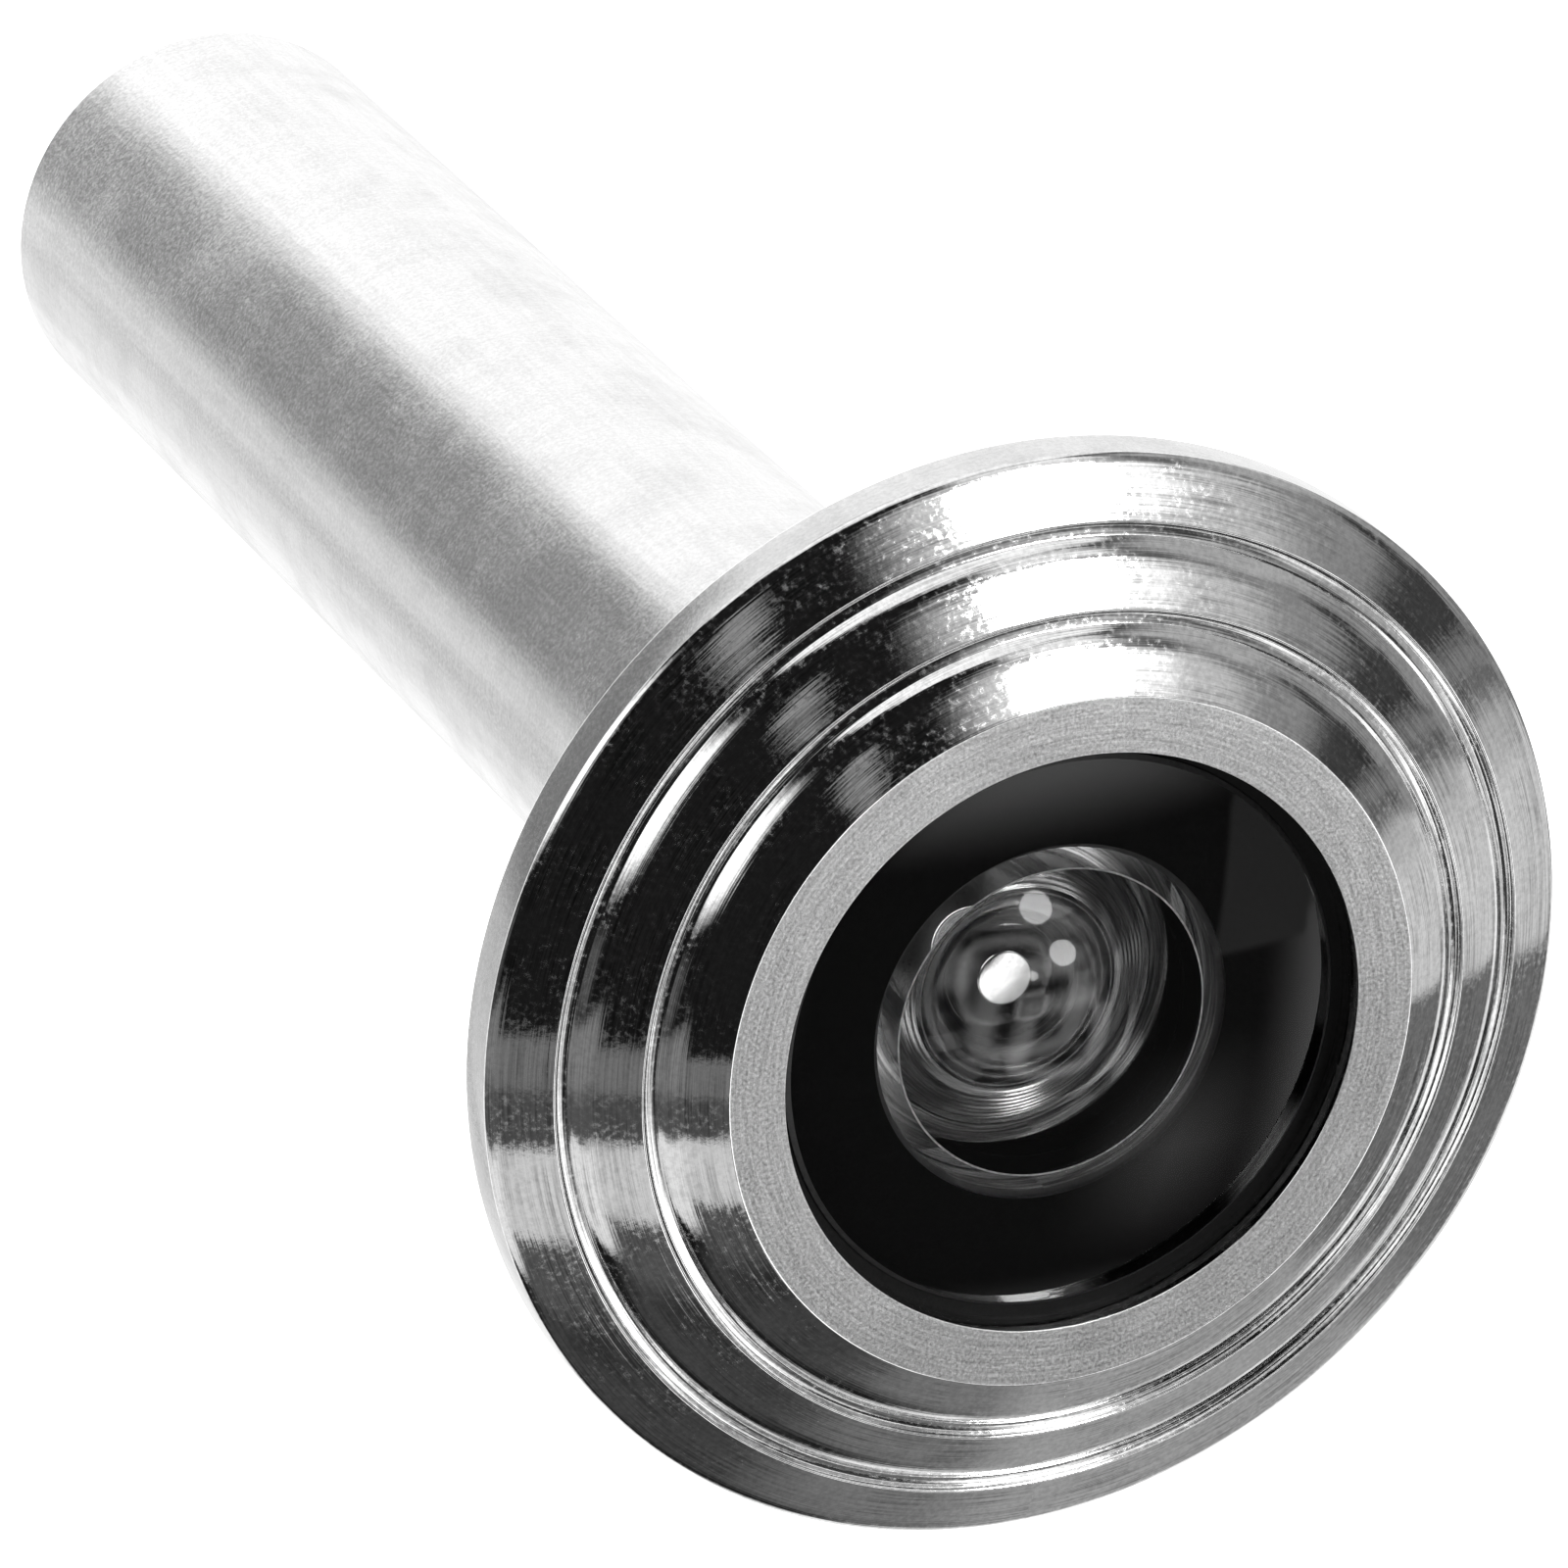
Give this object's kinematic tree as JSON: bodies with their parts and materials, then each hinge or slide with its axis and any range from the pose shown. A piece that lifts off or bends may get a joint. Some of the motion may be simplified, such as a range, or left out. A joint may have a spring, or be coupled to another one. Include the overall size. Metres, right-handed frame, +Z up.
{
  "type": "door viewer",
  "caption": "Wide-angle door viewer: stepped round flange with a recessed glass lens, a long smooth barrel, and a threaded eyepiece tube that screws in and out of the barrel.",
  "frame": {"origin": "on the axis at the back face of the flange, where it sits on the outside of the door", "axes": "+Y along the axis from the street side to the room side, +Z up, +X to the right seen from the street"},
  "size_m": [0.0356, 0.073, 0.0356],
  "materials": {
    "bright_plate": "turned, with fine lathe lines under bright plating",
    "satin_plate": "smooth satin plating",
    "thread_plate": "machined, bright plated",
    "lens_glass": "polished",
    "black_plastic": "matte black",
    "black_finish": "black anodised",
    "black_rubber": "soft, matte black"
  },
  "bodies": {
    "outside_half": {"front_flange": "bright_plate", "objective_lens": "lens_glass", "objective_seal": "black_rubber", "objective_mask": "black_finish", "flange_gasket": "black_rubber", "barrel_sleeve": "satin_plate", "front_cell": "black_plastic", "second_lens": "lens_glass", "second_lens_spacer": "black_finish", "third_lens": "lens_glass", "aperture_stop": "black_finish", "cell_preload_ring": "black_rubber", "cell_lock_ring": "black_finish"},
    "eyepiece_optics": {"field_stop": "black_finish", "field_lens": "lens_glass", "eyepiece_spacer": "black_finish", "eye_lens": "lens_glass", "eye_lens_seal": "black_rubber"},
    "eyepiece_tube": {"eyepiece_barrel": "thread_plate", "eyepiece_lock_ring": "thread_plate"}
  },
  "joints": [
    {"name": "eyepiece_travel", "type": "slide", "parent": "outside_half", "child": "eyepiece_optics", "axis": [0, 1, 0], "range_m": [0, 0.015]},
    {"name": "eyepiece_turn", "type": "hinge", "parent": "eyepiece_optics", "child": "eyepiece_tube", "pos_m": [0, 0.056, 0], "axis": [0, 1, 0], "range_deg": [0, 5400]}
  ],
  "couplings": [
    {"joint": "eyepiece_travel", "follows": "eyepiece_turn", "m_per_rad": 0.00015915}
  ]
}
